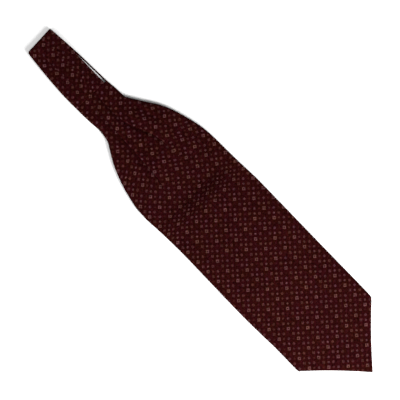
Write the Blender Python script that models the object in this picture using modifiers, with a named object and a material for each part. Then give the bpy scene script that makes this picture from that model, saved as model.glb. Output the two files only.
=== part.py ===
"""Silk cravat, folded in half at the middle of its neckband and laid flat.

Metres, +Z up, the flat underside at Z = 0. Y runs along the cravat, with the fold turn at +Y
and the pointed end at -Y. X runs across it. Tables and sizes are in millimetres: "along" is the
distance from the fold turn, "across" is the distance from the neckband's middle line.
"""
import math
from collections import namedtuple

import bmesh
import bpy

MM = 0.001

# Place of the cravat in the frame.
HALF_LENGTH = 320.265
MIDDLE_ACROSS = 9.51

# Thickness of the cloth and the room between layers.
FACE_WALL = 1.4
BAND_WALL = 2.0
PLY_STEP = 1.05
LAYER_GAP = 0.3
SEAM_GAP = 0.3

# Lengthwise limits of the pieces and of the places where their shape changes.
SEAM = 104.0
UNDER_SEAM = 112.0
SPREAD_START = 246.0
SPREAD_END = 290.0
POINT_START = 525.0

# Rounded edge of the shown blade. The angles run from the rim up to the level part.
FACE_LEVEL = 3.05 + LAYER_GAP + FACE_WALL / 2
FACE_RIM = 2.9
EDGE_INSET = FACE_WALL / 2 - 0.3
ROLL_WIDTH = 6.0
ROLL_ANGLES = (88.0, 71.0, 48.0, 22.0)

# The pointed end: two sides cut along the grain, each a little hollow.
Corner = namedtuple("Corner", "along across")
LEFT_CORNER = Corner(571.0, -57.0)
POINT = Corner(640.5, 12.9)
RIGHT_CORNER = Corner(565.5, 83.3)
POINT_HOLLOW = 2.2

# Soft swell of the shown blade, pressed down along one crease across it.
SWELL = 1.5
SWELL_START = 238.0
SWELL_END = 278.0
CROSS_CREASE = 304.0
CROSS_CREASE_WIDTH = 13.0
CROSS_CREASE_REACH = 75.0

# Outline of the shown blade.
Outline = namedtuple("Outline", "along left right")
BLADE_OUTLINE = (
    Outline(104.0, -27.9, 26.8),
    Outline(122.0, -27.4, 27.8),
    Outline(134.0, -26.6, 28.8),
    Outline(140.0, -26.0, 32.2),
    Outline(147.0, -25.6, 36.6),
    Outline(163.0, -27.8, 46.8),
    Outline(179.0, -36.2, 57.3),
    Outline(195.5, -45.1, 64.9),
    Outline(212.0, -51.6, 70.3),
    Outline(228.0, -56.7, 74.7),
    Outline(244.0, -60.4, 77.9),
    Outline(261.0, -63.4, 79.4),
    Outline(277.0, -63.8, 79.8),
    Outline(301.0, -62.2, 80.4),
    Outline(350.0, -60.5, 82.6),
    Outline(456.0, -61.1, 82.6),
    Outline(540.0, -58.3, 82.9),
    Outline(572.0, -57.0, 83.4),
)

# Right edge of the layers below, which stands out beside the neck of the shown blade.
LayerEdge = namedtuple("LayerEdge", "along right")
LAYER_EDGE = (
    LayerEdge(104.0, 28.9),
    LayerEdge(122.0, 30.7),
    LayerEdge(134.0, 31.2),
    LayerEdge(139.0, 32.0),
    LayerEdge(147.0, 36.6),
    LayerEdge(163.0, 46.8),
)
LAYER_ROWS = 46
LAYER_POINT_ROWS = 12
LAYER_CROWDING = 1.35

# Profiles of the hidden layers' edges, from below up. The lower blade has two plies alike.
Ring = namedtuple("Ring", "height inset")
PLY_EDGE = (
    Ring(0.0, 1.1),
    Ring(0.15, 0.65),
    Ring(0.475, 0.5),
    Ring(0.8, 0.65),
    Ring(0.95, 1.1),
)
PLY_GROOVE = Ring(1.0, 1.7)
BACK_PLY_EDGE = (
    Ring(2.05, 3.9),
    Ring(2.25, 3.4),
    Ring(2.55, 3.5),
    Ring(2.85, 5.0),
    Ring(3.05, 8.0),
)

# The two knife pleats. Each is tucked under the cloth on its right and opens out down the blade.
Pleat = namedtuple("Pleat", "along across tuck rise")
LEFT_PLEAT = (
    Pleat(104.0, -8.0, 5.5, 1.0),
    Pleat(163.0, -9.2, 6.5, 1.0),
    Pleat(190.0, -10.3, 10.0, 1.0),
    Pleat(206.0, -11.0, 11.0, 1.0),
    Pleat(226.0, -11.8, 6.0, 1.0),
    Pleat(243.0, -12.8, 0.0, 1.0),
    Pleat(262.0, -14.9, 0.0, 0.35),
    Pleat(280.0, -16.0, 0.0, 0.0),
)
RIGHT_PLEAT = (
    Pleat(104.0, 6.0, 3.5, 1.0),
    Pleat(140.0, 6.0, 3.5, 1.0),
    Pleat(155.0, 7.0, 3.5, 1.0),
    Pleat(167.0, 9.8, 3.5, 1.0),
    Pleat(178.0, 14.2, 3.5, 1.0),
    Pleat(190.0, 19.8, 3.5, 1.0),
    Pleat(203.0, 24.4, 3.0, 1.0),
    Pleat(218.0, 27.4, 0.0, 1.0),
    Pleat(232.0, 28.8, 0.0, 0.45),
    Pleat(248.0, 29.6, 0.0, 0.0),
)
PLEAT_RADIUS = (FACE_WALL + LAYER_GAP) / 2
PLEAT_RISE = 4 * PLEAT_RADIUS
PLEAT_TURN = (-45.0, 0.0, 45.0)
PLEAT_COVER = 1.5
PLEAT_FOOT = 0.8
PLEAT_SLOPE = 21.0

# The third pleat is a soft trough beside the outer lobe.
Trough = namedtuple("Trough", "along across depth")
OUTER_TROUGH = (
    Trough(126.0, 26.0, 0.0),
    Trough(150.0, 31.5, 0.9),
    Trough(172.0, 37.4, 1.6),
    Trough(186.0, 40.4, 1.6),
    Trough(198.0, 42.6, 1.2),
    Trough(212.0, 49.0, 0.5),
    Trough(228.0, 54.0, 0.0),
)
TROUGH_WIDTH = 3.6
TROUGH_INNER_SHARE = 0.35
TROUGH_INNER_LEAD = 10.0

# Points across the shown blade and rows along it.
LEFT_LOBE_POINTS = 5
MIDDLE_LOBE_POINTS = 7
RIGHT_LOBE_POINTS = 9
PLEATED_ROWS = 27
OPEN_ROWS = 13
POINT_ROWS = 5

# The neckband: outline of its shown half, right edge of its lower half, rise over the pleats,
# and the step where its own lengthwise fold lies.
Band = namedtuple("Band", "along left right under_right lift step")
NECKBAND = (
    Band(0.0, -21.4, 22.0, 22.0, 0.0, 0.0),
    Band(8.0, -23.1, 22.5, 22.8, 0.0, 0.0),
    Band(33.0, -25.7, 23.8, 24.9, 0.3, 0.0),
    Band(57.0, -27.3, 23.8, 26.5, 1.2, 0.5),
    Band(82.0, -28.2, 23.7, 27.5, 2.6, 1.2),
    Band(104.0, -27.9, 23.7, 28.4, 3.5, 2.0),
    Band(112.0, -27.6, 23.7, 29.3, 3.5, 2.0),
)
BAND_LAYER_SPACE = 0.5
BAND_TURN_SLANT = 2.4
BAND_ROLL = 1.0
BAND_DOME_POWER = 5
BAND_EDGE_POWER = 8
BAND_STEP_ACROSS = -7.0
BAND_STEP_WIDTH = 3.0
UNDER_BAND_INSET = 0.3
BAND_POINTS = 15
BAND_ROWS = 14
TURN_ROWS = 6
UNDER_START_ROWS = 3

# Slit along the right edge of the neckband's lower half, beside an edge strip.
SLIT_START = 36.0
SLIT_EDGE_STRIP = 1.6
SLIT_LEAST = 0.8
SLIT_COVER = 0.4
SLIT_ROWS = 8


def clear_scene():
    """Removes whatever the new scene starts with."""
    for item in list(bpy.data.objects):
        bpy.data.objects.remove(item, do_unlink=True)


def silk_material(name, colour, roughness):
    """Plain silk colour for one piece."""
    material = bpy.data.materials.new(name)
    material.use_nodes = True
    shader = material.node_tree.nodes["Principled BSDF"]
    shader.inputs["Base Color"].default_value = (*colour, 1.0)
    shader.inputs["Roughness"].default_value = roughness
    return material


def smooth_step(value):
    """Eases from 0 to 1 while the value goes from 0 to 1."""
    value = min(1.0, max(0.0, value))
    return value * value * (3.0 - 2.0 * value)


def blend(start, end, share):
    """Goes from start to end while the share goes from 0 to 1."""
    return start + (end - start) * share


def read_table(table, column, along):
    """Smooth value between the rows of a table, without overshoot, level beyond its ends."""
    stations = [row.along for row in table]
    values = [getattr(row, column) for row in table]
    if along <= stations[0]:
        return values[0]
    if along >= stations[-1]:
        return values[-1]
    slopes = []
    for index in range(len(values) - 1):
        slopes.append((values[index + 1] - values[index]) / (stations[index + 1] - stations[index]))

    def tangent(index):
        before = slopes[max(index - 1, 0)]
        after = slopes[min(index, len(slopes) - 1)]
        if before * after <= 0.0:
            return 0.0
        return 2.0 * before * after / (before + after)

    row = max(index for index, station in enumerate(stations) if station <= along)
    span = stations[row + 1] - stations[row]
    share = (along - stations[row]) / span
    start, end = values[row], values[row + 1]
    pull_start, pull_end = tangent(row) * span, tangent(row + 1) * span
    curve = 2.0 * (start - end) + pull_start + pull_end
    bend = 3.0 * (end - start) - 2.0 * pull_start - pull_end
    return ((curve * share + bend) * share + pull_start) * share + start


def place(along, across, height):
    """Point of the cravat in the frame, in metres."""
    return ((across - MIDDLE_ACROSS) * MM, (HALF_LENGTH - along) * MM, height * MM)


def point_edge(across):
    """How far along the pointed end reaches at this place across the blade."""
    corner = LEFT_CORNER if across < POINT.across else RIGHT_CORNER
    share = (across - corner.across) / (POINT.across - corner.across)
    share = min(1.0, max(0.0, share))
    hollow = POINT_HOLLOW * 4.0 * share * (1.0 - share)
    return blend(corner.along, POINT.along, share) - hollow


def roll_distances():
    """Distances from the edge of the points on the rounded edge, from the rim inwards."""
    return [ROLL_WIDTH * (1.0 - math.sin(math.radians(angle))) for angle in ROLL_ANGLES]


def pleat_points(pleat, along):
    """One pleat as (across, rise): under layer, turn, middle layer, turn, upper layer."""
    across = read_table(pleat, "across", along)
    tuck = read_table(pleat, "tuck", along)
    rise = read_table(pleat, "rise", along)
    turns = [math.radians(angle) for angle in PLEAT_TURN]
    steps = [(tuck, 0.0)]
    for turn in turns:
        steps.append((tuck + PLEAT_RADIUS * math.cos(turn), PLEAT_RADIUS * (1.0 + math.sin(turn))))
    steps.append((tuck, PLEAT_RISE / 2.0))
    steps.append((0.0, PLEAT_RISE / 2.0))
    for turn in turns:
        steps.append((-PLEAT_RADIUS * math.cos(turn), PLEAT_RADIUS * (3.0 + math.sin(turn))))
    steps.append((0.0, PLEAT_RISE))
    return [(across + aside, up * rise) for aside, up in steps]


def lobe_points(start, end, count, rise_at):
    """Evenly spaced points of the cloth between two folds, without the folds themselves."""
    points = []
    for index in range(count):
        across = blend(start, end, (index + 1) / (count + 1))
        points.append((across, rise_at(across)))
    return points


def pleated_section(along, left, right):
    """Points across the blade where it is pleated, as (across, rise above the lower level)."""
    left_pleat = pleat_points(LEFT_PLEAT, along)
    right_pleat = pleat_points(RIGHT_PLEAT, along)
    left_across, left_rise = left_pleat[-1]
    right_across, right_rise = right_pleat[-1]
    middle_start = left_pleat[0][0] + PLEAT_COVER
    middle_end = right_across - PLEAT_FOOT
    outer_start = right_pleat[0][0] + PLEAT_COVER
    outer_end = min(outer_start + PLEAT_SLOPE, right - PLEAT_FOOT)
    trough_across = read_table(OUTER_TROUGH, "across", along)
    trough_depth = read_table(OUTER_TROUGH, "depth", along)

    def middle_rise(across):
        return left_rise * (1.0 - smooth_step((across - middle_start) / (middle_end - middle_start)))

    def outer_rise(across):
        slope = right_rise * (1.0 - smooth_step((across - outer_start) / (outer_end - outer_start)))
        beside = trough_depth * (1.0 - math.exp(-((across - trough_across) / TROUGH_WIDTH) ** 2))
        if across < trough_across:
            lead = smooth_step((across - outer_start) / TROUGH_INNER_LEAD)
            return slope + TROUGH_INNER_SHARE * beside * lead
        past = across - trough_across - TROUGH_WIDTH
        room = right - trough_across - TROUGH_WIDTH
        return slope + beside * (1.0 - smooth_step(past / room))

    points = [(left + distance, 0.0) for distance in roll_distances()]
    points += lobe_points(left + ROLL_WIDTH, left_across, LEFT_LOBE_POINTS, lambda across: 0.0)
    points += left_pleat
    points += lobe_points(left_across, right_across, MIDDLE_LOBE_POINTS, middle_rise)
    points += right_pleat
    points += lobe_points(right_across, right - ROLL_WIDTH, RIGHT_LOBE_POINTS, outer_rise)
    for distance in reversed(roll_distances()):
        points.append((right - distance, outer_rise(right - distance)))
    return points


def open_section(count, left, right):
    """Evenly spread places across the open blade, with one on the line of its point."""
    steps = count // 2 - len(ROLL_ANGLES)
    places = [left + distance for distance in roll_distances()]
    for index in range(steps + 1):
        places.append(blend(left + ROLL_WIDTH, POINT.across, index / steps))
    for index in range(1, steps + 1):
        places.append(blend(POINT.across, right - ROLL_WIDTH, index / steps))
    places += [right - distance for distance in reversed(roll_distances())]
    return places


def blade_swell(along, across):
    """Soft swell of the open blade, pressed down along the crease across it."""
    swell = SWELL * smooth_step((along - SWELL_START) / (SWELL_END - SWELL_START))
    nearness = math.exp(-((along - CROSS_CREASE) / CROSS_CREASE_WIDTH) ** 2)
    middle = math.exp(-((across - POINT.across) / CROSS_CREASE_REACH) ** 4)
    return swell * (1.0 - nearness * middle)


def blade_section(along, end_distance):
    """Points across the blade as (across, height). The last rows lie near the pointed end."""
    left = read_table(BLADE_OUTLINE, "left", along) + EDGE_INSET
    right = read_table(BLADE_OUTLINE, "right", along) - EDGE_INSET
    pleated = pleated_section(along, left, right)
    places = open_section(len(pleated), left, right)
    openness = smooth_step((along - SPREAD_START) / (SPREAD_END - SPREAD_START))
    end_share = max(0.0, 1.0 - end_distance / ROLL_WIDTH)
    section = []
    for (pleated_across, rise), open_across in zip(pleated, places):
        across = blend(pleated_across, open_across, openness)
        side_share = max(0.0, 1.0 - min(across - left, right - across) / ROLL_WIDTH)
        share = min(1.0, math.hypot(side_share, end_share))
        level = FACE_LEVEL + rise + blade_swell(along, across)
        section.append((across, FACE_RIM + (level - FACE_RIM) * math.sqrt(1.0 - share * share)))
    return section


def point_row(across, distance):
    """Place along of a row that keeps this distance from the pointed end's sides."""
    return point_edge(across) - (EDGE_INSET + distance) * math.sqrt(2.0)


def blade_rows():
    """All rows of the shown blade, from the seam to the pointed end."""
    stations = []
    for index in range(PLEATED_ROWS):
        stations.append(blend(SEAM + SEAM_GAP, SPREAD_END, index / PLEATED_ROWS))
    for index in range(OPEN_ROWS + 1):
        stations.append(blend(SPREAD_END, POINT_START, index / OPEN_ROWS))
    rows = []
    for along in stations:
        rows.append([(along, across, height) for across, height in blade_section(along, ROLL_WIDTH)])
    for index in range(1, POINT_ROWS):
        row = []
        for across, height in blade_section(POINT_START, ROLL_WIDTH):
            along = blend(POINT_START, point_row(across, ROLL_WIDTH), index / POINT_ROWS)
            row.append((along, across, height))
        rows.append(row)
    for distance in [ROLL_WIDTH] + list(reversed(roll_distances())):
        row = []
        for across, height in blade_section(POINT_START, distance):
            row.append((point_row(across, distance), across, height))
        rows.append(row)
    return rows


def band_height(along, across, left, right):
    """Height of the shown neckband's middle surface, rising over the pleats at the seam."""
    level = 1.5 * BAND_WALL + BAND_LAYER_SPACE
    lift = read_table(NECKBAND, "lift", along)
    step = read_table(NECKBAND, "step", along)
    offset = abs(across - (left + right) / 2.0) / ((right - left) / 2.0)
    dome = 1.0 - offset ** BAND_DOME_POWER
    edge = offset ** BAND_EDGE_POWER
    above = smooth_step((across - BAND_STEP_ACROSS + BAND_STEP_WIDTH) / (2.0 * BAND_STEP_WIDTH))
    roll = BAND_ROLL * min(1.0, lift) * edge
    return level + lift * dome - step * (1.0 - above) * (1.0 - edge) - roll


def under_band_row(along, height):
    """Row of the neckband's lower half. Its last three points bound the slit and the edge strip."""
    left = read_table(NECKBAND, "left", along) + UNDER_BAND_INSET
    right = read_table(NECKBAND, "under_right", along)
    strip_start = right - SLIT_EDGE_STRIP
    slit_start = min(strip_start - SLIT_LEAST, read_table(NECKBAND, "right", along) - SLIT_COVER)
    inner_points = BAND_POINTS - 2
    row = []
    for column in range(inner_points):
        row.append((along, blend(left, slit_start, column / (inner_points - 1)), height))
    row.append((along, strip_start, height))
    row.append((along, right, height))
    return row


def neckband_rows():
    """Rows of the neckband: shown half from the seam to the turn, the turn, then the lower half."""
    under_height = BAND_WALL / 2.0
    turn_radius = (BAND_WALL + BAND_LAYER_SPACE) / 2.0
    turn_start = under_height + turn_radius + BAND_TURN_SLANT
    shares = [column / (BAND_POINTS - 1) for column in range(BAND_POINTS)]
    rows = []
    for index in range(BAND_ROWS + 1):
        along = blend(SEAM, turn_start, index / BAND_ROWS)
        left = read_table(NECKBAND, "left", along)
        right = read_table(NECKBAND, "right", along)
        row = []
        for share in shares:
            across = blend(left, right, share)
            row.append((along, across, band_height(along, across, left, right)))
        rows.append(row)
    turn_places = [across for along, across, height in rows[-1]]
    for index in range(1, TURN_ROWS):
        turn = math.pi * index / TURN_ROWS
        height = under_height + turn_radius * (1.0 + math.cos(turn))
        row = []
        for share, start_across in zip(shares, turn_places):
            end_across = blend(NECKBAND[0].left, NECKBAND[0].right, share)
            reach = turn_start - under_height - BAND_TURN_SLANT * (1.0 - share)
            across = blend(start_across, end_across, math.sin(turn))
            row.append((turn_start - reach * math.sin(turn), across, height))
        rows.append(row)
    for index in range(UNDER_START_ROWS):
        along = blend(turn_start, SLIT_START, index / UNDER_START_ROWS)
        rows.append(under_band_row(along, under_height))
    for index in range(SLIT_ROWS + 1):
        along = blend(SLIT_START, SEAM, index / SLIT_ROWS)
        rows.append(under_band_row(along, under_height))
    rows.append(under_band_row(UNDER_SEAM, under_height))
    return rows


def is_slit(row, column):
    """Tells whether this place of the neckband's grid belongs to the slit."""
    first_row = BAND_ROWS + TURN_ROWS + UNDER_START_ROWS
    return column == BAND_POINTS - 3 and first_row <= row < first_row + SLIT_ROWS


def is_closed(row, column):
    """Tells that no place of the shown blade's grid is left open."""
    return False


def cloth_object(name, rows, wall, is_open, material, collection):
    """Wall of cloth on a grid of rows, left open where asked."""
    shape = bmesh.new()
    grid = [[shape.verts.new(place(*point)) for point in row] for row in rows]
    for row in range(len(grid) - 1):
        for column in range(len(grid[row]) - 1):
            if is_open(row, column):
                continue
            corners = (
                grid[row][column],
                grid[row + 1][column],
                grid[row + 1][column + 1],
                grid[row][column + 1],
            )
            shape.faces.new(corners).smooth = True
    mesh = bpy.data.meshes.new(name)
    shape.to_mesh(mesh)
    shape.free()
    mesh.materials.append(material)
    cloth = bpy.data.objects.new(name, mesh)
    collection.objects.link(cloth)
    solidify = cloth.modifiers.new("cloth_wall", "SOLIDIFY")
    solidify.thickness = wall * MM
    solidify.offset = 0.0


def layer_outline(right_edge):
    """Closed outline of the blade's layers as (along, across), with this table's right edge."""
    left_side, right_side = [], []
    for index in range(LAYER_ROWS + 1):
        share = (index / LAYER_ROWS) ** LAYER_CROWDING
        along = blend(UNDER_SEAM + SEAM_GAP, LEFT_CORNER.along, share)
        left_side.append((along, read_table(BLADE_OUTLINE, "left", along)))
        along = blend(UNDER_SEAM + SEAM_GAP, RIGHT_CORNER.along, share)
        table = right_edge if along < right_edge[-1].along else BLADE_OUTLINE
        right_side.append((along, read_table(table, "right", along)))
    point_sides = []
    for index in range(1, LAYER_POINT_ROWS + 1):
        across = blend(left_side[-1][1], POINT.across, index / LAYER_POINT_ROWS)
        point_sides.append((point_edge(across), across))
    for index in range(1, LAYER_POINT_ROWS):
        across = blend(POINT.across, right_side[-1][1], index / LAYER_POINT_ROWS)
        point_sides.append((point_edge(across), across))
    return left_side + point_sides + list(reversed(right_side))


def direction(along, across):
    """The same direction with length one."""
    length = math.hypot(along, across)
    return (along / length, across / length)


def draw_in(outline, inset):
    """Moves every side of a closed outline inwards by the inset."""
    drawn_in = []
    for index, (along, across) in enumerate(outline):
        before = outline[index - 1]
        after = outline[(index + 1) % len(outline)]
        arriving = direction(along - before[0], across - before[1])
        leaving = direction(after[0] - along, after[1] - across)
        outward = direction(arriving[1] + leaving[1], -arriving[0] - leaving[0])
        reach = inset / max(0.5, outward[0] * arriving[1] - outward[1] * arriving[0])
        drawn_in.append((along - outward[0] * reach, across - outward[1] * reach))
    return drawn_in


def layer_rings():
    """Closed rings of the hidden layers' edges, as (height, outline), from below up."""
    lower_outline = layer_outline(LAYER_EDGE)
    back_outline = layer_outline(BLADE_OUTLINE)
    lower_ply = [(ring.height, ring.inset) for ring in PLY_EDGE]
    upper_ply = [(ring.height + PLY_STEP, ring.inset) for ring in PLY_EDGE]
    rings = []
    for height, inset in lower_ply + [(PLY_GROOVE.height, PLY_GROOVE.inset)] + upper_ply:
        rings.append((height, draw_in(lower_outline, inset)))
    for ring in BACK_PLY_EDGE:
        rings.append((ring.height, draw_in(back_outline, ring.inset)))
    return rings


def under_layers_object(material, collection):
    """Rounded solid of the hidden layers: two plies of the lower blade, then the upper one's back."""
    shape = bmesh.new()
    loops = []
    for height, outline in layer_rings():
        loops.append([shape.verts.new(place(along, across, height)) for along, across in outline])
    for lower, upper in zip(loops, loops[1:]):
        for index in range(len(lower)):
            follow = (index + 1) % len(lower)
            shape.faces.new((lower[index], lower[follow], upper[follow], upper[index])).smooth = True
    shape.faces.new(list(reversed(loops[0])))
    shape.faces.new(loops[-1])
    bmesh.ops.recalc_face_normals(shape, faces=shape.faces)
    mesh = bpy.data.meshes.new("under_layers")
    shape.to_mesh(mesh)
    shape.free()
    mesh.materials.append(material)
    collection.objects.link(bpy.data.objects.new("under_layers", mesh))


def build_cravat():
    """Builds the three pieces of the cravat in their collection."""
    clear_scene()
    collection = bpy.data.collections.new("silk_cravat")
    bpy.context.scene.collection.children.link(collection)
    blade_silk = silk_material("blade_silk", (0.16, 0.02, 0.03), 0.5)
    neckband_silk = silk_material("neckband_silk", (0.15, 0.02, 0.03), 0.5)
    under_silk = silk_material("under_silk", (0.12, 0.015, 0.025), 0.55)
    cloth_object("blade_face", blade_rows(), FACE_WALL, is_closed, blade_silk, collection)
    cloth_object("neckband", neckband_rows(), BAND_WALL, is_slit, neckband_silk, collection)
    under_layers_object(under_silk, collection)


build_cravat()
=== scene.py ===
"""Looks of the silk cravat, folded in half at its neckband and laid flat.

Metres, +Z up. Y runs along the cravat, with the fold turn at +Y and the pointed end at -Y.
Tables are in millimetres: "along" is the distance from the fold turn and "across" the distance
from the neckband's middle line. place() turns them into metres.
"""
import math
from collections import namedtuple

import bmesh
import bpy
from mathutils import Matrix, Vector


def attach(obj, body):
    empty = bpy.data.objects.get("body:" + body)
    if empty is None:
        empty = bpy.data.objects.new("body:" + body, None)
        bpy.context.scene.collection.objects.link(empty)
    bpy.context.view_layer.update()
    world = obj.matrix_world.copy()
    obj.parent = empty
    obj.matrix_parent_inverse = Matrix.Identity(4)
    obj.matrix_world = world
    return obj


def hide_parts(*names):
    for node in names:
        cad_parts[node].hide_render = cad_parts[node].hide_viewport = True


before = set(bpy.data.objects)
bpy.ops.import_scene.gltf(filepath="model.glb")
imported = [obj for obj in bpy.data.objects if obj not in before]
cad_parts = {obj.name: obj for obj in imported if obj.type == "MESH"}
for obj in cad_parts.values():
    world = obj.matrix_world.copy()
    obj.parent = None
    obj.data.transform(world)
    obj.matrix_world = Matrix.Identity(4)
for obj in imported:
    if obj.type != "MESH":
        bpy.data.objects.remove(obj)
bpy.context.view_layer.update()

MM = 0.001


def table(columns, *rows):
    """Table of rows whose columns have these names."""
    kind = namedtuple("Row", columns)
    return [kind(*row) for row in rows]


# Place of the cravat in the frame.
HALF_LENGTH = 320.265
MIDDLE_ACROSS = 9.51

# Thickness of the cloth. Its outer side lies where the solids have theirs.
FACE_WALL = 0.8
BAND_PLATE = 2.0
BAND_LAYER_SPACE = 0.5
PLY_STEP = 1.05
SEAM_GAP = 0.3

# Lengthwise limits of the pieces and of the places where their shape changes.
SEAM = 104.0
FACE_START = 103.3
UNDER_SEAM = 112.0
SPREAD_START = 246.0
SPREAD_END = 290.0
POINT_START = 525.0

# Rounded edge of the shown blade.
FACE_LEVEL = 4.75 - FACE_WALL / 2
FACE_RIM = 2.45
EDGE_INSET = 0.1
ROLL_WIDTH = 4.4
POINT_ROLL_WIDTH = 2.6
ROLL_ANGLES = (88.0, 79.0, 69.0, 58.0, 46.0, 34.0, 22.0, 11.0)

# The pointed end: two sides cut along the grain, each a little hollow.
Corner = namedtuple("Corner", "along across")
LEFT_CORNER = Corner(571.0, -57.0)
POINT = Corner(640.5, 12.9)
RIGHT_CORNER = Corner(565.5, 83.3)
POINT_HOLLOW = 2.2

# Soft rise of the open blade past the pleats, which leaves a hollow across it.
SWELL = 5.0
SWELL_RISE = (289.0, 319.0)
SWELL_MIDDLE = 6.0
SWELL_POWER = 4
SWELL_REACH = 52.0
FAR_SWELL_REACH = 72.0
FAR_SWELL = (315.0, 400.0)
SWELL_FALL = (350.0, 600.0)

# Outline of the shown blade.
BLADE_OUTLINE = table(
    "along left right",
    (103.3, -27.3, 22.8), (104.1, -27.6, 23.2), (104.8, -27.9, 26.8), (122, -27.4, 27.8),
    (134, -26.6, 28.8), (140, -26, 32.2), (147, -25.6, 36.6), (163, -27.8, 46.8),
    (179, -36.2, 57.3), (195.5, -45.1, 64.9), (212, -51.6, 70.3), (228, -56.7, 74.7),
    (244, -60.4, 77.9), (261, -63.4, 79.4), (277, -63.8, 79.8), (301, -62.2, 80.4),
    (350, -60.5, 82.6), (456, -61.1, 82.6), (540, -58.3, 82.9), (572, -57, 83.4),
)

# Right edge of the layers below, which stands out beside the neck of the shown blade.
LAYER_EDGE = table(
    "along right",
    (104, 28.9), (122, 30.7), (134, 31.2), (139, 32), (147, 36.6), (163, 46.8),
)
LAYER_ROWS = 90
LAYER_POINT_ROWS = 24
LAYER_COLUMNS = 48
LAYER_CROWDING = 1.35
LAYER_FADE = 4.0
LEAST_MITRE = 0.5

# Profiles of the hidden layers' edges, from below up. The lower blade has two plies alike.
RING = "height inset"
PLY_EDGE = table(
    RING,
    (0, 1.1), (0.06, 0.83), (0.18, 0.62), (0.34, 0.52), (0.475, 0.5), (0.61, 0.52), (0.77, 0.62),
    (0.89, 0.83), (0.95, 1.1),
)
PLY_GROOVE = (1.0, 1.7)
BACK_PLY_EDGE = table(
    RING,
    (2.05, 3.9), (2.14, 3.55), (2.3, 3.38), (2.5, 3.4), (2.7, 3.9), (2.9, 5.3), (3.05, 8),
)

# The two knife pleats. Each is tucked under the cloth on its right and opens out down the blade.
PLEAT = "along across tuck rise"
LEFT_PLEAT = table(
    PLEAT,
    (104, -8, 5.5, 1), (163, -9.2, 6.5, 1), (190, -10.3, 10, 1), (206, -11, 11, 1),
    (226, -11.8, 6, 1), (243, -12.8, 0, 0.8), (262, -14.9, 0, 0.4), (280, -16, 0, 0.1),
    (292, -16.4, 0, 0),
)
RIGHT_PLEAT = table(
    PLEAT,
    (104, 6, 3.5, 0.5), (140, 6, 3.5, 0.5), (155, 7, 3.5, 0.7), (167, 9.8, 3.5, 1),
    (178, 14.2, 3.5, 1), (190, 19.8, 3.5, 1), (203, 24.4, 3, 0.9), (218, 27.4, 0, 0.65),
    (232, 28.8, 0, 0.3), (254, 29.6, 0, 0),
)

# How far the cloth right of the second pleat slopes down.
OUTER_SLOPE = table("along width", (104, 21), (135, 22), (155, 30), (190, 32), (225, 24))
PLEAT_RADIUS = 0.85
PLEAT_RISE = 4 * PLEAT_RADIUS
PLEAT_TURN_SHARE = 0.5
PLEAT_MIDDLE_SHARE = 0.6
PLEAT_TURN = (-72.0, -48.0, -24.0, 0.0, 24.0, 48.0, 72.0)
PLEAT_COVER = 1.5
PLEAT_FOOT = 0.8

# Swells of the cloth just left of each pleat, from where it drops under the pleat's edge.
SHOULDERS = table(
    "along left middle",
    (104, 0.5, 0), (140, 1.3, 0.3), (172, 2.4, 1.6), (200, 3, 2.8), (222, 3.1, 2.4),
    (245, 2.3, 1.1), (268, 1, 0.4), (292, 0, 0),
)
LEFT_LEAD = 24.0
LEFT_DROP = 12.0
MIDDLE_LEAD = 24.0
MIDDLE_DROP = 6.5

# The seam presses the pleats together where the neckband covers them.
SEAM_PRESS = 0.55
SEAM_PRESS_END = 134.0

# The third pleat is a soft trough beside the outer lobe.
OUTER_TROUGH = table(
    "along across depth",
    (126, 26, 0), (150, 31.5, 0.9), (172, 37.4, 1.6), (186, 40.4, 1.6), (198, 42.6, 1.2),
    (212, 49, 0.5), (228, 54, 0),
)
TROUGH_WIDTH = 3.6
TROUGH_INNER_SHARE = 0.35
TROUGH_INNER_LEAD = 10.0

# Small soft creases of the cloth: troughs have a depth below zero and ridges above.
CREASE = "start_along start_across end_along end_across width relief"
FACE_CREASES = table(
    CREASE,
    (128, -20.5, 176, -24, 2.6, -0.3), (150, -15, 214, -33, 3.2, 0.35),
    (168, -14, 226, -22, 2.8, -0.3), (196, -36, 256, -52, 4.6, -0.35),
    (222, -22, 292, -41, 4.2, 0.3), (116, -3, 168, -1, 2.2, -0.25), (134, 2.5, 204, 9, 2.6, 0.3),
    (182, 0, 252, 6, 3.8, -0.35), (214, 16, 276, 24, 3.6, -0.3), (122, 14, 162, 24, 2.4, -0.3),
    (166, 22, 208, 40, 2.8, 0.25), (192, 55, 246, 66, 4, -0.3), (232, 36, 296, 52, 4.8, -0.3),
    (262, -8, 330, 4, 5.2, -0.25), (318, -44, 388, -34, 7, -0.3), (334, 40, 436, 56, 8.5, 0.3),
    (372, 8, 432, 18, 6.4, -0.22), (450, -32, 548, -18, 9, -0.26), (474, 44, 556, 36, 7.6, -0.3),
    (560, 2, 618, 11, 5.4, 0.24),
)
BAND_CREASES = table(
    CREASE,
    (10, -16, 58, -18.5, 2.6, -0.28), (22, 12.5, 74, 15, 3, -0.25), (30, 2, 92, 1, 3.4, 0.22),
    (52, -21, 100, -19, 2.2, 0.25), (66, 7, 102, 9.5, 2, -0.3), (4, -3, 30, -1, 2.2, -0.2),
    (-30, -12.5, 118, -11.5, 6, -0.7),
)
UNDER_CREASES = table(
    CREASE,
    (96, -12, 206, -25, 2.2, 0.75), (98, 8, 222, 31, 2.4, 0.7), (116, 19, 188, 38, 2.2, 0.5),
    (150, -3, 262, -2, 3.2, 0.45), (228, -40, 300, -36, 4.4, 0.26), (286, 34, 372, 50, 6, 0.28),
    (404, -28, 486, -22, 7.4, 0.24), (470, 30, 566, 22, 6.2, 0.26),
)
UNDER_BAND_CREASES = table(
    CREASE,
    (16, -14, 74, -11, 2.6, 0.4), (40, 5, 130, 9, 2.2, 0.5), (58, -19, 126, -13, 2, 0.45),
    (8, 10, 52, 13, 3, 0.3),
)

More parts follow.
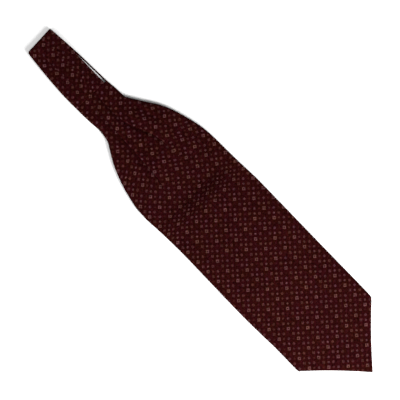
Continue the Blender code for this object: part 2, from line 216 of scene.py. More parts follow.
# Points across the shown blade and rows along it.
LEFT_LOBE_POINTS = 22
MIDDLE_LOBE_POINTS = 26
RIGHT_LOBE_POINTS = 36
PLEATED_ROWS = 100
OPEN_ROWS = 66
POINT_ROWS = 14

# The neckband: outline of its shown half, right edge of its lower half, rise over the pleats.
NECKBAND = table(
    "along left right under_right lift",
    (0, -21.4, 22, 22, 0), (8, -23.1, 22.5, 22.8, 0), (33, -25.7, 23.8, 24.9, 0.3),
    (57, -27.3, 23.8, 26.5, 1), (82, -28.2, 23.7, 27.5, 1.8), (104, -27.9, 23.7, 28.4, 2.3),
    (112, -27.6, 23.7, 29.3, 2.3),
)

# The two pleats go on up the shown half as folded edges. The cloth left of each lies lower.
BAND_FOLDS = table(
    "along left left_step right right_step",
    (6, -9.8, 0, 6.4, 0), (30, -9.8, 0.25, 6.4, 0.3), (50, -9.7, 0.9, 6.3, 0.45),
    (76, -9.6, 1.2, 6.2, 0.5), (96, -8.9, 1.5, 6, 0.5), (104, -8.4, 1.6, 6, 0.5),
)
FOLD_PROFILE = table(
    "aside shift rise",
    (-1.3, 0, 0), (-0.6, 0, 0), (-0.15, 0.35, 0.05), (-0.05, -0.25, 0.32), (0.05, -0.5, 0.62),
    (0.2, -0.35, 0.9), (0.7, 0, 1), (1.3, 0, 1),
)
FOLD_EDGE_POINT = 3
BAND_TURN_SLANT = 2.4
BAND_ROLL = 1.0
BAND_DOME_POWER = 14
BAND_EDGE_POWER = 14
UNDER_BAND_INSET = 0.3
BAND_RIM = (0.0, 0.06, 0.2, 0.42, 0.7, 1.0)
SEAM_RIM_SHARE = 0.35
BAND_STRIP_SHARES = (0.0, 0.06, 0.2, 0.5, 0.8, 0.94, 1.0)
BAND_PANEL_POINTS = (12, 11, 12)
BAND_ROWS = 56
TURN_ROWS = 12
UNDER_START_ROWS = 14
UNDER_SLIT_ROWS = 34
UNDER_END_ROWS = 4
UNDER_BAND_FADE = 4.0

# Slip stitches across the seam below. Their place in the print is plain ground.
STITCHES = 15
STITCH_MARGIN = 3.0
STITCH_REACH = 1.5
STITCH_SLANT = 1.6
STITCH_HEIGHT = 0.24
STITCH_SINK = 0.5
STITCH_SINK_POWER = 4
STITCH_RADIUS = 0.2
STITCH_SIDES = 8
STITCH_STEPS = 8
STITCH_DRIFT = 0.25
STITCH_DRIFT_STEP = 2.3
STITCH_PRINT = (0.25, 0.0)

# Slit along the right edge of the neckband's lower half, beside an edge strip.
SLIT_START = 36.0
SLIT_EDGE_STRIP = 2.0
SLIT_LEAST = 0.8
SLIT_COVER = 0.4

# The print's repeat: place of one bright square, then the steps to the next ones.
PRINT_ORIGIN = Corner(1.37, 7.91)
PRINT_STEP_ALONG = Corner(18.955, 0.778)
PRINT_STEP_ACROSS = Corner(-1.599, 19.040)
HIDDEN_LENGTH = 9.2
HIDDEN_RUN = (296.0, 325.0)
HIDDEN_REACH = 95.0

# Where one row of bright squares runs in each part of the pleated cloth.
PRINT_ROW = "along across"
LEFT_PRINT = table(
    PRINT_ROW,
    (30, -57.1), (68, -49.5), (162.8, -49.5), (184.6, -46.8), (203.6, -46.1), (214.4, -48.2),
    (222.5, -50.9), (241.5, -54.3), (260.5, -57.7), (278.2, -58.4), (289, -57.7), (298.5, -57),
    (328.4, -55),
)
MIDDLE_PRINT = table(
    PRINT_ROW,
    (8.1, 0), (67.9, 0), (86.2, -2), (106.5, -2.7), (125.5, -4.1), (145.2, -5.4), (162.8, -6.8),
    (172.3, -4.1), (181.8, -2), (200.8, 0.7), (219.8, 4.1), (238.8, 8.1), (257.8, 13.6),
    (275.5, 17), (295.1, 19), (324.3, 21.2),
)
OUTER_PRINT = table(
    PRINT_ROW,
    (8, 21.2), (40, 22), (84, 22.6), (105.8, 22.4), (124.8, 20.4), (153.3, 20.4), (163.5, 22.4),
    (180.5, 29.9), (214.4, 34.9), (230.7, 44.8), (248.3, 51.2), (267.3, 54.3), (282.3, 56.7),
    (305.3, 58.4), (320.3, 59.2),
)
LEFT_PART, MIDDLE_PART, OUTER_PART = 0.0, 1.0, 2.0
PRINT_PARTS = table("row_number rows", (-4, LEFT_PRINT), (0, MIDDLE_PRINT), (2, OUTER_PRINT))
PRINT_UV = "print_repeat"


def ease(value, start, end):
    """Eases from 0 to 1 while the value goes from start to end."""
    share = min(1.0, max(0.0, (value - start) / (end - start)))
    return share * share * (3.0 - 2.0 * share)


def blend(start, end, share):
    """Goes from start to end while the share goes from 0 to 1."""
    return start + (end - start) * share


def spread(start, end, steps):
    """Evenly spaced values from the start on, without the end."""
    return [blend(start, end, index / steps) for index in range(steps)]


def read(rows, column, along):
    """Smooth value between the rows of a table, without overshoot, level beyond its ends."""
    stations = [row.along for row in rows]
    values = [getattr(row, column) for row in rows]
    if along <= stations[0]:
        return values[0]
    if along >= stations[-1]:
        return values[-1]
    spans = zip(stations, values, stations[1:], values[1:])
    slopes = [(end - start) / (after - before) for before, start, after, end in spans]

    def tangent(index):
        before = slopes[max(index - 1, 0)]
        after = slopes[min(index, len(slopes) - 1)]
        if before * after <= 0.0:
            return 0.0
        return 2.0 * before * after / (before + after)

    row = max(index for index, station in enumerate(stations) if station <= along)
    span = stations[row + 1] - stations[row]
    share = (along - stations[row]) / span
    start, end = values[row], values[row + 1]
    pull_start, pull_end = tangent(row) * span, tangent(row + 1) * span
    curve = 2.0 * (start - end) + pull_start + pull_end
    bend = 3.0 * (end - start) - 2.0 * pull_start - pull_end
    return ((curve * share + bend) * share + pull_start) * share + start


def place(along, across, height):
    """Point of the cravat in the frame, in metres."""
    return Vector(((across - MIDDLE_ACROSS) * MM, (HALF_LENGTH - along) * MM, height * MM))


def crease_relief(creases, along, across):
    """Height that the small creases add at this place."""
    relief = 0.0
    for crease in creases:
        run_along = crease.end_along - crease.start_along
        run_across = crease.end_across - crease.start_across
        length = math.hypot(run_along, run_across)
        aside_along = along - crease.start_along
        aside_across = across - crease.start_across
        share = (aside_along * run_along + aside_across * run_across) / length ** 2
        if not 0.0 < share < 1.0:
            continue
        distance = (aside_along * run_across - aside_across * run_along) / length
        taper = math.sin(math.pi * share) ** 2
        relief += crease.relief * taper * math.exp(-((distance / crease.width) ** 2))
    return relief


def row_across(row_number, print_along):
    """Where a row of bright squares lies across the open cloth."""
    slope = PRINT_STEP_ALONG.across / PRINT_STEP_ALONG.along
    run = print_along - PRINT_ORIGIN.along - PRINT_STEP_ACROSS.along * row_number
    return PRINT_ORIGIN.across + PRINT_STEP_ACROSS.across * row_number + slope * run


def print_place(along, across, part):
    """Place in the print's repeats. The part says which of the pleated cloth's parts it is on."""
    hidden = HIDDEN_LENGTH * math.exp(-((across - POINT.across) / HIDDEN_REACH) ** 2)
    share = ease(along, *HIDDEN_RUN)
    print_along = along - hidden * (1.0 - share)
    lower = int(min(part, OUTER_PART - 1.0))
    values = []
    for row_number, rows in PRINT_PARTS[lower:lower + 2]:
        values.append(across - read(rows, "across", along) + row_across(row_number, print_along))
    print_across = blend(*values, part - lower)
    if along > PRINT_PARTS[0].rows[-1].along:
        print_across = across
    return repeat_place(print_along, print_across)


def repeat_place(print_along, print_across):
    """Whole and part repeats along and across, of a place on the unfolded cloth."""
    run = print_along - PRINT_ORIGIN.along
    aside = print_across - PRINT_ORIGIN.across
    first, second = PRINT_STEP_ALONG, PRINT_STEP_ACROSS
    size = first.along * second.across - first.across * second.along
    return (
        (run * second.across - aside * second.along) / size,
        (aside * first.along - run * first.across) / size,
    )


def point_edge(across):
    """How far along the pointed end reaches at this place across the blade."""
    corner = LEFT_CORNER if across < POINT.across else RIGHT_CORNER
    share = (across - corner.across) / (POINT.across - corner.across)
    share = min(1.0, max(0.0, share))
    hollow = POINT_HOLLOW * 4.0 * share * (1.0 - share)
    return blend(corner.along, POINT.along, share) - hollow


def roll_distances(width=ROLL_WIDTH):
    """Distances from the edge of the points on the rounded edge, from the rim inwards."""
    return [width * (1.0 - math.sin(math.radians(angle))) for angle in ROLL_ANGLES]


def pleat_points(pleat, along, first_part):
    """One pleat as (across, rise, part): under layer, turn, middle layer, turn, upper layer."""
    across = read(pleat, "across", along)
    tuck = read(pleat, "tuck", along)
    rise = read(pleat, "rise", along)
    turns = [math.radians(angle) for angle in PLEAT_TURN]
    steps = [(tuck, 0.0, 0.0)]
    for index, turn in enumerate(turns):
        aside = tuck + PLEAT_RADIUS * math.cos(turn)
        share = PLEAT_TURN_SHARE * (index + 1) / len(turns)
        steps.append((aside, PLEAT_RADIUS * (1.0 + math.sin(turn)), share))
    steps.append((tuck, PLEAT_RISE / 2.0, PLEAT_MIDDLE_SHARE))
    steps.append((0.0, PLEAT_RISE / 2.0, 1.0))
    for turn in turns:
        steps.append((-PLEAT_RADIUS * math.cos(turn), PLEAT_RADIUS * (3.0 + math.sin(turn)), 1.0))
    steps.append((0.0, PLEAT_RISE, 1.0))
    return [(across + aside, up * rise, first_part + share) for aside, up, share in steps]


def lobe_points(start, end, count, rise_at, part):
    """Evenly spaced points of the cloth between two folds, without the folds themselves."""
    return [(across, rise_at(across), part) for across in spread(start, end, count + 1)[1:]]


def pleated_section(along, left, right):
    """Points across the pleated blade, as (across, rise above the lower level, part)."""
    left_pleat = pleat_points(LEFT_PLEAT, along, LEFT_PART)
    right_pleat = pleat_points(RIGHT_PLEAT, along, MIDDLE_PART)
    left_across, left_rise, _ = left_pleat[-1]
    right_across, right_rise, _ = right_pleat[-1]
    middle_start = left_pleat[0][0] + PLEAT_COVER
    middle_end = right_across - PLEAT_FOOT
    outer_start = right_pleat[0][0] + PLEAT_COVER
    outer_end = min(outer_start + read(OUTER_SLOPE, "width", along), right - PLEAT_FOOT)
    trough_across = read(OUTER_TROUGH, "across", along)
    trough_depth = read(OUTER_TROUGH, "depth", along)
    left_shoulder = read(SHOULDERS, "left", along)
    middle_shoulder = read(SHOULDERS, "middle", along)

    def drop(across, end, width):
        return 1.0 - ease(across, end - width, end)

    def left_lobe_rise(across):
        lead = ease(across, left, min(left + LEFT_LEAD, left_across - LEFT_DROP))
        return left_shoulder * lead * drop(across, left_across, LEFT_DROP)

    def middle_rise(across):
        slope = left_rise * (1.0 - ease(across, middle_start, middle_end))
        lead = ease(across, middle_start, middle_start + MIDDLE_LEAD)
        return slope + middle_shoulder * lead * drop(across, middle_end, MIDDLE_DROP)

    def outer_rise(across):
        slope = right_rise * (1.0 - ease(across, outer_start, outer_end))
        beside = trough_depth * (1.0 - math.exp(-((across - trough_across) / TROUGH_WIDTH) ** 2))
        if across < trough_across:
            lead = ease(across, outer_start, outer_start + TROUGH_INNER_LEAD)
            return slope + TROUGH_INNER_SHARE * beside * lead
        return slope + beside * (1.0 - ease(across, trough_across + TROUGH_WIDTH, right))

    rolls = roll_distances()
    points = [(left + roll, left_lobe_rise(left + roll), LEFT_PART) for roll in rolls]
    lobe_start = left + ROLL_WIDTH
    points += lobe_points(lobe_start, left_across, LEFT_LOBE_POINTS, left_lobe_rise, LEFT_PART)
    points += left_pleat
    points += lobe_points(left_across, right_across, MIDDLE_LOBE_POINTS, middle_rise, MIDDLE_PART)
    points += right_pleat
    lobe_end = right - ROLL_WIDTH
    points += lobe_points(right_across, lobe_end, RIGHT_LOBE_POINTS, outer_rise, OUTER_PART)
    points += [(right - roll, outer_rise(right - roll), OUTER_PART) for roll in reversed(rolls)]
    return points


def open_section(count, left, right):
    """Evenly spread places across the open blade, with one on the line of its point."""
    steps = count // 2 - len(ROLL_ANGLES)
    right_steps = count - steps - 1 - 2 * len(ROLL_ANGLES)
    rolls = roll_distances()
    places = [left + roll for roll in rolls]
    places += spread(left + ROLL_WIDTH, POINT.across, steps)
    places += spread(POINT.across, right - ROLL_WIDTH, right_steps) + [right - ROLL_WIDTH]
    return places + [right - roll for roll in reversed(rolls)]


def blade_swell(along, across):
    """Soft swell of the open blade past the hollow across it."""
    far_share = ease(along, *FAR_SWELL)
    reach = blend(SWELL_REACH, FAR_SWELL_REACH, far_share)
    middle = math.exp(-((across - SWELL_MIDDLE) / reach) ** SWELL_POWER)
    rise = ease(along, *SWELL_RISE)
    fall = ease(along, *SWELL_FALL)
    return SWELL * rise * middle * (1.0 - fall)


def blade_section(along, end_distance):
    """Points across the blade as (across, height, part)."""
    left = read(BLADE_OUTLINE, "left", along) + EDGE_INSET
    right = read(BLADE_OUTLINE, "right", along) - EDGE_INSET
    pleated = pleated_section(along, left, right)
    places = open_section(len(pleated), left, right)
    openness = ease(along, SPREAD_START, SPREAD_END)
    end_share = max(0.0, 1.0 - end_distance / POINT_ROLL_WIDTH)
    press_share = ease(along, SEAM, SEAM_PRESS_END)
    press = blend(SEAM_PRESS, 1.0, press_share)
    section = []
    for (pleated_across, rise, part), open_across in zip(pleated, places):
        across = blend(pleated_across, open_across, openness)
        side_share = max(0.0, 1.0 - min(across - left, right - across) / ROLL_WIDTH)
        share = min(1.0, math.hypot(side_share, end_share))
        creases = crease_relief(FACE_CREASES, along, across) * press_share
        level = FACE_LEVEL + rise * press + blade_swell(along, across) + creases
        height = FACE_RIM + (level - FACE_RIM) * math.sqrt(1.0 - share * share)
        section.append((across, height, part))
    return section


def point_row(across, distance):
    """Place along of a row that keeps this distance from the pointed end's sides."""
    return point_edge(across) - (EDGE_INSET + distance) * math.sqrt(2.0)


def blade_rows():
    """All rows of the shown blade, from under the seam to the pointed end."""
    stations = spread(FACE_START, SPREAD_END, PLEATED_ROWS)
    stations += spread(SPREAD_END, POINT_START, OPEN_ROWS) + [POINT_START]
    rows = [[(along, *point) for point in blade_section(along, ROLL_WIDTH)] for along in stations]
    section = blade_section(POINT_START, ROLL_WIDTH)
    for index in range(1, POINT_ROWS):
        row = []
        for across, height, part in section:
            along = blend(POINT_START, point_row(across, POINT_ROLL_WIDTH), index / POINT_ROWS)
            relief = crease_relief(FACE_CREASES, along, across) + blade_swell(along, across)
            relief -= crease_relief(FACE_CREASES, POINT_START, across)
            relief -= blade_swell(POINT_START, across)
            row.append((along, across, height + relief, part))
        rows.append(row)
    for distance in [POINT_ROLL_WIDTH] + roll_distances(POINT_ROLL_WIDTH)[::-1]:
        row = []
        for across, height, part in blade_section(POINT_START, distance):
            along = point_row(across, distance)
            fall = blade_swell(POINT_START, across) - blade_swell(along, across)
            fall *= (height - FACE_RIM) / (FACE_LEVEL - FACE_RIM)
            row.append((along, across, height - fall, part))
        rows.append(row)
    return rows


def band_height(along, across, left, right):
    """Height of the shown neckband's middle surface, rising over the pleats at the seam."""
    level = 1.5 * BAND_PLATE + BAND_LAYER_SPACE
    lift = read(NECKBAND, "lift", along)
    offset = abs(across - (left + right) / 2.0) / ((right - left) / 2.0)
    roll = BAND_ROLL * min(1.0, lift) * offset ** BAND_EDGE_POWER
    return level + lift * (1.0 - offset ** BAND_DOME_POWER) - roll


def fold_relief(along, across, column, left, right):
    """How far this point of the shown neckband is shifted aside and raised by the two folds."""
    offset = abs(across - (left + right) / 2.0) / ((right - left) / 2.0)
    fade = 1.0 - offset ** BAND_EDGE_POWER
    aside, rise = 0.0, 0.0
    for fold_start, name in zip(FOLD_COLUMNS, ("left", "right")):
        step = read(BAND_FOLDS, name + "_step", along)
        index = min(max(column - fold_start, 0), len(FOLD_PROFILE) - 1)
        aside += FOLD_PROFILE[index].shift * min(1.0, step)
        rise -= step * (1.0 - FOLD_PROFILE[index].rise)
    return aside, (rise + crease_relief(BAND_CREASES, along, across)) * fade


def band_places(along, is_under):
    """Places across one half of the neckband, close together at its edges, folds and slit."""
    left = read(NECKBAND, "left", along)
    right = shown_right = read(NECKBAND, "right", along)
    if is_under:
        left += UNDER_BAND_INSET
        right = read(NECKBAND, "under_right", along)
    strip_start = right - SLIT_EDGE_STRIP
    slit_start = min(strip_start - SLIT_LEAST, shown_right - SLIT_COVER)
    folds = [read(BAND_FOLDS, name, along) for name in ("left", "right")]
    starts = [left + BAND_RIM[-1]] + [fold + FOLD_PROFILE[-1].aside for fold in folds]
    ends = [fold + FOLD_PROFILE[0].aside for fold in folds] + [slit_start - BAND_RIM[-1]]
    places = [left + rim for rim in BAND_RIM]
    for panel, (start, end, count) in enumerate(zip(starts, ends, BAND_PANEL_POINTS)):
        places += spread(start, end, count)[1:]
        if panel < len(folds):
            places += [folds[panel] + point.aside for point in FOLD_PROFILE]
    places += [slit_start - rim for rim in reversed(BAND_RIM)]
    places += [blend(strip_start, right, share) for share in BAND_STRIP_SHARES]
    return places


# Columns of the neckband's grid where its two folds start, and the last one before its slit.
FIRST_FOLD = len(BAND_RIM) + BAND_PANEL_POINTS[0] - 1
SECOND_FOLD = FIRST_FOLD + len(FOLD_PROFILE) + BAND_PANEL_POINTS[1] - 1
FOLD_COLUMNS = (FIRST_FOLD, SECOND_FOLD)
SLIT_COLUMN = SECOND_FOLD + len(FOLD_PROFILE) + BAND_PANEL_POINTS[2] - 1 + len(BAND_RIM) - 1


def neckband_rows():
    """Rows of the neckband's middle surface: shown half, turn, then lower half.

    Each point is (along, across, height, place along its cloth).
    """
    under_height = BAND_PLATE / 2.0
    turn_radius = (BAND_PLATE + BAND_LAYER_SPACE) / 2.0
    turn_start = under_height + turn_radius + BAND_TURN_SLANT
    rows = []
    stations = [SEAM - SEAM_RIM_SHARE * rim for rim in BAND_RIM[:-1]]
    stations += spread(SEAM - BAND_RIM[-1], turn_start, BAND_ROWS) + [turn_start]
    for along in stations:
        places = band_places(along, False)
        edges = places[0], places[-1]
        rows.append([(along, spot, band_height(along, spot, *edges), along) for spot in places])
    turn_places = band_places(turn_start, False)
    end_places = band_places(0.0, False)
    for index in range(1, TURN_ROWS):
        turn = math.pi * index / TURN_ROWS
        height = under_height + turn_radius * (1.0 + math.cos(turn))
        row = []
        for start_across, end_across in zip(turn_places, end_places):
            share = (end_across - end_places[0]) / (end_places[-1] - end_places[0])
            reach = turn_start - under_height - BAND_TURN_SLANT * (1.0 - share)
            across = blend(start_across, end_across, math.sin(turn))
            cloth_along = turn_start * math.cos(turn)
            row.append((turn_start - reach * math.sin(turn), across, height, cloth_along))
        rows.append(row)
    stations = spread(turn_start, SLIT_START, UNDER_START_ROWS)
    stations += spread(SLIT_START, SEAM, UNDER_SLIT_ROWS)
    stations += spread(SEAM, UNDER_SEAM - BAND_RIM[-1], UNDER_END_ROWS)
    stations += [UNDER_SEAM - rim for rim in reversed(BAND_RIM)]
    for along in stations:
        rows.append([(along, spot, under_height, -along) for spot in band_places(along, True)])
    return rows


def rim_share(distance):
    """Share of the full thickness at this distance from a rounded rim."""
    share = 1.0 - min(1.0, distance / BAND_RIM[-1])
    return math.sqrt(1.0 - share * share)


OUTER_SIDE, INNER_SIDE = 1.0, -1.0


def row_is_slit(row):
    """Tells whether this row of the neckband's grid crosses the slit."""
    first_row = len(BAND_RIM) + BAND_ROWS + TURN_ROWS - 1 + UNDER_START_ROWS
    return first_row <= row <= first_row + UNDER_SLIT_ROWS


def band_thickness(rows):
    """Thickness at each point of the neckband's grid, rounded off towards every rim."""
    thickness = []
    for row_index, row in enumerate(rows):
        to_end = abs(row[0][0] - SEAM) / SEAM_RIM_SHARE if row_index < BAND_ROWS else SEAM
        if row_index >= len(rows) - len(BAND_RIM):
            to_end = abs(row[0][0] - rows[-1][0][0])
        values = []
        for column, point in enumerate(row):
            to_side = min(point[1] - row[0][1], row[-1][1] - point[1])
            if row_is_slit(row_index):
                rim = row[SLIT_COLUMN if column <= SLIT_COLUMN else SLIT_COLUMN + 1]
                to_side = min(to_side, abs(rim[1] - point[1]))
            values.append(BAND_PLATE * rim_share(to_side) * rim_share(to_end))
        thickness.append(values)
    return thickness


def link_object(name, data):
    """New object of the scene."""
    piece = bpy.data.objects.new(name, data)
    bpy.context.scene.collection.objects.link(piece)
    return piece


def add_piece(name, shape, face_places, material):
    """Makes a smooth mesh object of a finished bmesh, with its print places as a UV map."""
    mesh = bpy.data.meshes.new(name)
    shape.to_mesh(mesh)
    shape.free()
    layer = mesh.uv_layers.new(name=PRINT_UV)
    for polygon in mesh.polygons:
        for loop_index, repeat in zip(polygon.loop_indices, face_places[polygon.index]):
            layer.data[loop_index].uv = repeat
    mesh.materials.append(material)
    mesh.shade_smooth()
    return link_object(name, mesh)


def grid_cells(grid):
    """Row, column and corners of each cell of a grid."""
    for row in range(len(grid) - 1):
        for column in range(len(grid[row]) - 1):
            yield row, column, [
                (row, column), (row, column + 1), (row + 1, column + 1), (row + 1, column),
            ]


def add_face(shape, face_places, repeats):
    """Adds the face of these vertices, unless it has shrunk away, and their print places."""
    if len(repeats) > 2 and shape.faces.get(list(repeats)) is None:
        shape.faces.new(list(repeats))
        face_places.append(list(repeats.values()))


def shown_blade(material):
    """The shown ply of the front blade, with its pleats, as one thin sheet of silk."""
    rows = blade_rows()
    shape = bmesh.new()
    grid = [[shape.verts.new(place(*point[:3])) for point in row] for row in rows]
    repeats = [[print_place(along, across, part) for along, across, _, part in row] for row in rows]
    face_places = []
    for _, _, corners in grid_cells(grid):
        corners = corners[:1] + corners[:0:-1]
        add_face(shape, face_places, {grid[r][c]: repeats[r][c] for r, c in corners})
    piece = add_piece("blade_silk_face", shape, face_places, material)
    solidify = piece.modifiers.new("cloth_wall", "SOLIDIFY")
    solidify.thickness = FACE_WALL * MM
    solidify.offset = 0.0
    return piece


def grid_normals(points):
    """Unit normal of the surface at each point of a grid, pointing away from the cloth's inside."""
    normals = []
    for row_index, row in enumerate(points):
        before = points[max(row_index - 1, 0)]
        after = points[min(row_index + 1, len(points) - 1)]
        values = []
        for column in range(len(row)):
            across = row[min(column + 1, len(row) - 1)] - row[max(column - 1, 0)]
            along = after[column] - before[column]
            values.append(across.cross(-along).normalized())
        normals.append(values)
    return normals


def outer_relief(row, row_index, column):
    """Shift of a point on the neckband's outer side by its folds and creases."""
    along, across, _, _ = row[column]
    if row_index < len(BAND_RIM) + BAND_ROWS:
        fade = min(1.0, (SEAM - along) / BAND_RIM[-1])
        aside, rise = fold_relief(along, across, column, row[0][1], row[-1][1])
        return Vector((aside * MM, 0.0, rise * MM)) * fade
    if row_index < len(BAND_RIM) + BAND_ROWS + TURN_ROWS:
        return Vector()
    to_rim = min(UNDER_SEAM - along, across - row[0][1], row[SLIT_COLUMN][1] - across)
    fade = ease(to_rim, BAND_RIM[-1], BAND_RIM[-1] + UNDER_BAND_FADE)
    return Vector((0.0, 0.0, crease_relief(UNDER_BAND_CREASES, along, across) * fade * MM))


def band_part(column):
    """Part of the print that this column of the neckband's faces belongs to."""
    edges = [start + FOLD_EDGE_POINT for start in FOLD_COLUMNS]
    return (LEFT_PART, MIDDLE_PART, OUTER_PART)[sum(column >= edge for edge in edges)]


def neckband(material):
    """The neckband with its turn: plies pressed into one band with rounded edges."""
    rows = neckband_rows()
    points = [[place(*point[:3]) for point in row] for row in rows]
    normals = grid_normals(points)
    thickness = band_thickness(rows)
    shape = bmesh.new()
    sides, face_places = [], []
    for side in (OUTER_SIDE, INNER_SIDE):
        grid = []
        for index, row in enumerate(points):
            line = []
            for column, point in enumerate(row):
                wall = thickness[index][column]
                if side == INNER_SIDE and wall < MM:
                    line.append(sides[0][index][column])
                    continue
                moved = point + normals[index][column] * (side * wall * MM / 2.0)
                if side == OUTER_SIDE and wall > MM:
                    moved += outer_relief(rows[index], index, column)
                line.append(shape.verts.new(moved))
            grid.append(line)
        sides.append(grid)
        for row, column, corners in grid_cells(grid):
            if column == SLIT_COLUMN and row_is_slit(row) and row_is_slit(row + 1):
                continue
            if side == INNER_SIDE:
                corners.reverse()
            part = band_part(column)
            repeats = {grid[r][c]: band_print(rows[r][c], part) for r, c in corners}
            add_face(shape, face_places, repeats)
    return add_piece("neckband_silk_band", shape, face_places, material)


def band_print(point, part):
    """Place of a neckband point in the print. The lower half's cloth runs on backwards."""
    _, across, _, cloth_along = point
    if cloth_along >= 0.0:
        return print_place(cloth_along, across, part)
    first, second = print_place(0.0, across, MIDDLE_PART)
    return (first + cloth_along / PRINT_STEP_ALONG.along, second)


def slip_stitches(material):
    """Small slanting stitches that close the seam between the neckband and the blade below."""
    shape = bmesh.new()
    left = read(BLADE_OUTLINE, "left", UNDER_SEAM) + STITCH_MARGIN
    right = read(LAYER_EDGE, "right", UNDER_SEAM) - STITCH_MARGIN
    for index in range(STITCHES):
        drift = STITCH_DRIFT * math.sin(STITCH_DRIFT_STEP * index)
        across = blend(left, right, index / (STITCHES - 1)) + drift
        rings = []
        for step in range(STITCH_STEPS + 1):
            share = step / STITCH_STEPS
            middle_along = UNDER_SEAM + SEAM_GAP / 2.0 + STITCH_REACH * (2.0 * share - 1.0)
            middle_across = across + STITCH_SLANT * (share - 0.5)
            height = STITCH_HEIGHT + STITCH_SINK * (2.0 * share - 1.0) ** STITCH_SINK_POWER
            ring = []
            for side in range(STITCH_SIDES):
                turn = math.tau * side / STITCH_SIDES
                aside = middle_across + STITCH_RADIUS * math.cos(turn)
                above = height + STITCH_RADIUS * math.sin(turn)
                ring.append(shape.verts.new(place(middle_along, aside, above)))
            rings.append(ring)
        shape.faces.new(rings[0])
        shape.faces.new(rings[-1][::-1])
        for first, second in zip(rings, rings[1:]):
            for side in range(STITCH_SIDES):
                follow = (side + 1) % STITCH_SIDES
                shape.faces.new((first[follow], first[side], second[side], second[follow]))
    face_places = [[STITCH_PRINT] * len(face.verts) for face in shape.faces]
    return add_piece("neckband_slip_stitches", shape, face_places, material)


def layer_outline(right_edge):
    """Closed outline of the blade's layers as (along, across), with this table's right edge."""
    left_side, right_side = [], []
    for index in range(LAYER_ROWS + 1):
        share = (index / LAYER_ROWS) ** LAYER_CROWDING
        along = blend(UNDER_SEAM + SEAM_GAP, LEFT_CORNER.along, share)
        left_side.append((along, read(BLADE_OUTLINE, "left", along)))
        along = blend(UNDER_SEAM + SEAM_GAP, RIGHT_CORNER.along, share)
        edge = right_edge if along < right_edge[-1].along else BLADE_OUTLINE
        right_side.append((along, read(edge, "right", along)))
    places = spread(left_side[-1][1], POINT.across, LAYER_POINT_ROWS)[1:]
    places += spread(POINT.across, right_side[-1][1], LAYER_POINT_ROWS)
    return left_side + [(point_edge(across), across) for across in places] + right_side[::-1]


def direction(along, across):
    """The same direction with length one."""
    length = math.hypot(along, across)
    return (along / length, across / length)


def draw_in(outline, inset):
    """Moves every side of a closed outline inwards by the inset."""
    drawn_in = []
    for index, (along, across) in enumerate(outline):
        before = outline[index - 1]
        after = outline[(index + 1) % len(outline)]
        arriving = direction(along - before[0], across - before[1])
        leaving = direction(after[0] - along, after[1] - across)
        outward = direction(arriving[1] + leaving[1], -arriving[0] - leaving[0])
        reach = inset / max(LEAST_MITRE, outward[0] * arriving[1] - outward[1] * arriving[0])
        drawn_in.append((along - outward[0] * reach, across - outward[1] * reach))
    return drawn_in


def layer_rings():
    """Closed rings of the hidden layers' edges, as (height, outline), from below up."""
    upper_ply = [(height + PLY_STEP, inset) for height, inset in PLY_EDGE]
    lower_plies = PLY_EDGE + [PLY_GROOVE] + upper_ply
    rings = []
    for right_edge, profile in ((LAYER_EDGE, lower_plies), (BLADE_OUTLINE, BACK_PLY_EDGE)):
        outline = layer_outline(right_edge)
        rings += [(height, draw_in(outline, inset)) for height, inset in profile]
    return rings


def layer_print(along, across, height):
    """Place in the print's repeats on the hidden layers. Edges go on from their own side."""
    return repeat_place(along + height, across)


def fill_layer(shape, loop, ring, creases, is_top, face_places):
    """Closes the top or bottom of the hidden layers with rows from side to side."""
    height, outline = ring
    pairs = LAYER_ROWS + LAYER_POINT_ROWS
    grid, places = [], []
    for row in range(pairs):
        start, end = outline[row], outline[-row - 1]
        vertices, row_places = [loop[row]], [start]
        for column in range(1, LAYER_COLUMNS):
            share = column / LAYER_COLUMNS
            along, across = blend(start[0], end[0], share), blend(start[1], end[1], share)
            fade = min(1.0, LAYER_FADE * share, LAYER_FADE * (1.0 - share))
            relief = crease_relief(creases, along, across) * fade
            vertices.append(shape.verts.new(place(along, across, height + relief)))
            row_places.append((along, across))
        grid.append(vertices + [loop[-row - 1]])
        places.append(row_places + [end])
    grid.append([loop[pairs]] * (LAYER_COLUMNS + 1))
    places.append([outline[pairs]] * (LAYER_COLUMNS + 1))
    for _, _, corners in grid_cells(grid):
        if is_top:
            corners.reverse()
        repeats = {grid[r][c]: layer_print(*places[r][c], height) for r, c in corners}
        add_face(shape, face_places, repeats)


def under_layers(material):
    """The hidden plies: one rounded form, layered at its edges and flat below."""
    shape = bmesh.new()
    rings = layer_rings()
    loops = []
    for height, outline in rings:
        loops.append([shape.verts.new(place(along, across, height)) for along, across in outline])
    face_places = []
    for step in range(len(rings) - 1):
        for index in range(len(loops[step])):
            follow = (index + 1) % len(loops[step])
            repeats = {}
            for r, c in ((step, index), (step, follow), (step + 1, follow), (step + 1, index)):
                repeats[loops[r][c]] = layer_print(*rings[r][1][c], rings[r][0])
            add_face(shape, face_places, repeats)
    fill_layer(shape, loops[0], rings[0], UNDER_CREASES, False, face_places)
    fill_layer(shape, loops[-1], rings[-1], (), True, face_places)
    return add_piece("under_silk_layers", shape, face_places, material)


